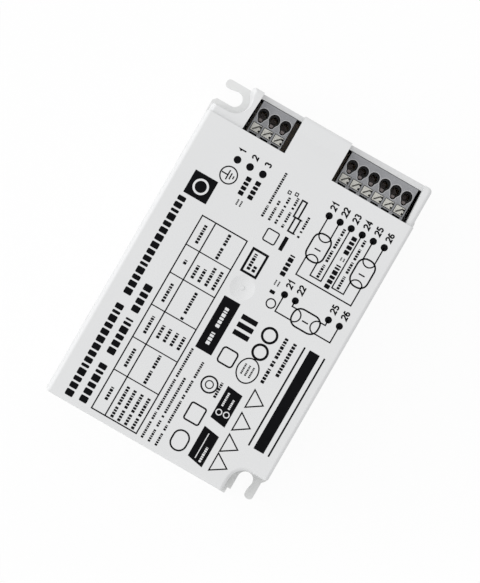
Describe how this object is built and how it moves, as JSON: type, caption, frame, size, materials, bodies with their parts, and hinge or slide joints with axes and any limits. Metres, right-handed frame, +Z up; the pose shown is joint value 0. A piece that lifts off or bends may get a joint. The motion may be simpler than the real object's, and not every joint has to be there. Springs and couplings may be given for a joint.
{
  "type": "fluorescent lamp ballast",
  "caption": "Compact electronic ballast for fluorescent lamps: flat pale plastic housing with slotted fixing ears and grey push-in terminal blocks with white release buttons.",
  "frame": {"origin": "centre of the housing's outline on the underside of the base tray", "axes": "+Y along the housing towards the terminals, +X across it towards the lamp terminals' side, +Z up out of the face it is fixed by"},
  "size_m": [0.067, 0.103, 0.031],
  "materials": {
    "cover_plastic": "fine satin texture",
    "tray_plastic": "fine satin texture",
    "board_laminate": "paper laminate",
    "block_plastic": "satin",
    "button_plastic": "satin",
    "contact_metal": "tinned",
    "spring_steel": "rolled",
    "dark_case": "moulded",
    "varistor_lacquer": "lacquered",
    "film_case": "moulded",
    "red_film_case": "moulded",
    "can_sleeve": "shrunk sleeve",
    "ferrite": "ground",
    "bobbin_plastic": "moulded",
    "enamelled_copper": "enamelled"
  },
  "bodies": {
    "housing": {"cover": "cover_plastic", "base_tray": "tray_plastic", "circuit_board": "board_laminate", "mains_terminal_block": "block_plastic", "lamp_terminal_block": "block_plastic", "mains_contacts": "contact_metal", "lamp_contacts": "contact_metal", "input_fuse": "dark_case", "varistor": "varistor_lacquer", "noise_capacitor": "film_case", "safety_capacitor": "varistor_lacquer", "bridge_rectifier": "dark_case", "input_capacitor": "film_case", "bulk_capacitor": "can_sleeve", "boost_transistor": "dark_case", "boost_diode": "dark_case", "bridge_transistor_1": "dark_case", "bridge_transistor_2": "dark_case", "lamp_capacitor_1": "red_film_case", "lamp_capacitor_2": "red_film_case", "control_chip": "dark_case", "chip_resistors": "dark_case", "mains_spring_1": "spring_steel", "mains_spring_2": "spring_steel", "mains_spring_3": "spring_steel", "lamp_spring_1": "spring_steel", "lamp_spring_2": "spring_steel", "lamp_spring_3": "spring_steel", "lamp_spring_4": "spring_steel", "lamp_spring_5": "spring_steel", "lamp_spring_6": "spring_steel", "noise_choke_core": "ferrite", "noise_choke_bobbin": "bobbin_plastic", "noise_choke_winding": "enamelled_copper", "boost_choke_core": "ferrite", "boost_choke_bobbin": "bobbin_plastic", "boost_choke_winding": "enamelled_copper", "lamp_choke_1_core": "ferrite", "lamp_choke_1_bobbin": "bobbin_plastic", "lamp_choke_1_winding": "enamelled_copper", "lamp_choke_2_core": "ferrite", "lamp_choke_2_bobbin": "bobbin_plastic", "lamp_choke_2_winding": "enamelled_copper", "heating_transformer_core": "ferrite", "heating_transformer_bobbin": "bobbin_plastic", "heating_transformer_winding": "enamelled_copper"},
    "mains_button_1": {"mains_button_1": "button_plastic"},
    "mains_button_2": {"mains_button_2": "button_plastic"},
    "mains_button_3": {"mains_button_3": "button_plastic"},
    "lamp_button_1": {"lamp_button_1": "button_plastic"},
    "lamp_button_2": {"lamp_button_2": "button_plastic"},
    "lamp_button_3": {"lamp_button_3": "button_plastic"},
    "lamp_button_4": {"lamp_button_4": "button_plastic"},
    "lamp_button_5": {"lamp_button_5": "button_plastic"},
    "lamp_button_6": {"lamp_button_6": "button_plastic"}
  },
  "joints": [
    {"name": "mains_button_1_press", "type": "slide", "parent": "housing", "child": "mains_button_1", "axis": [0, 0, -1], "range_m": [0, 0.0012], "stiffness_N_per_m": 2000, "springref_m": -0.0005, "deforming": ["mains_spring_1"]},
    {"name": "mains_button_2_press", "type": "slide", "parent": "housing", "child": "mains_button_2", "axis": [0, 0, -1], "range_m": [0, 0.0012], "stiffness_N_per_m": 2000, "springref_m": -0.0005, "deforming": ["mains_spring_2"]},
    {"name": "mains_button_3_press", "type": "slide", "parent": "housing", "child": "mains_button_3", "axis": [0, 0, -1], "range_m": [0, 0.0012], "stiffness_N_per_m": 2000, "springref_m": -0.0005, "deforming": ["mains_spring_3"]},
    {"name": "lamp_button_1_press", "type": "slide", "parent": "housing", "child": "lamp_button_1", "axis": [0, 0, -1], "range_m": [0, 0.0012], "stiffness_N_per_m": 2000, "springref_m": -0.0005, "deforming": ["lamp_spring_1"]},
    {"name": "lamp_button_2_press", "type": "slide", "parent": "housing", "child": "lamp_button_2", "axis": [0, 0, -1], "range_m": [0, 0.0012], "stiffness_N_per_m": 2000, "springref_m": -0.0005, "deforming": ["lamp_spring_2"]},
    {"name": "lamp_button_3_press", "type": "slide", "parent": "housing", "child": "lamp_button_3", "axis": [0, 0, -1], "range_m": [0, 0.0012], "stiffness_N_per_m": 2000, "springref_m": -0.0005, "deforming": ["lamp_spring_3"]},
    {"name": "lamp_button_4_press", "type": "slide", "parent": "housing", "child": "lamp_button_4", "axis": [0, 0, -1], "range_m": [0, 0.0012], "stiffness_N_per_m": 2000, "springref_m": -0.0005, "deforming": ["lamp_spring_4"]},
    {"name": "lamp_button_5_press", "type": "slide", "parent": "housing", "child": "lamp_button_5", "axis": [0, 0, -1], "range_m": [0, 0.0012], "stiffness_N_per_m": 2000, "springref_m": -0.0005, "deforming": ["lamp_spring_5"]},
    {"name": "lamp_button_6_press", "type": "slide", "parent": "housing", "child": "lamp_button_6", "axis": [0, 0, -1], "range_m": [0, 0.0012], "stiffness_N_per_m": 2000, "springref_m": -0.0005, "deforming": ["lamp_spring_6"]}
  ]
}
